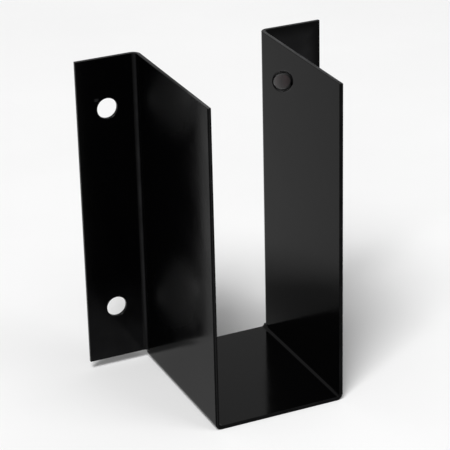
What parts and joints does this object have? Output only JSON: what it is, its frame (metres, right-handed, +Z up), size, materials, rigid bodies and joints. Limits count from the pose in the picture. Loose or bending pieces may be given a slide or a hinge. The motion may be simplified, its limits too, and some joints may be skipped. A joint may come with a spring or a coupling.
{
  "type": "u bracket",
  "caption": "U-shaped bracket folded from sheet steel, with a flat seat, upright walls and outward screw flanges that hang the end of a timber from a beam or post.",
  "frame": {"origin": "on the plane that the seat's underside stands on, under the middle of the bracket's bounding box", "axes": "+Z up along the walls, +Y from the open front towards the beam that the flanges are screwed to, +X across the bracket, left to right seen from the front"},
  "size_m": [0.08, 0.053, 0.1016],
  "materials": {
    "black_coat": "smooth semi-gloss black powder coat"
  },
  "bodies": {
    "root": {"u_bracket": "black_coat"}
  },
  "joints": []
}
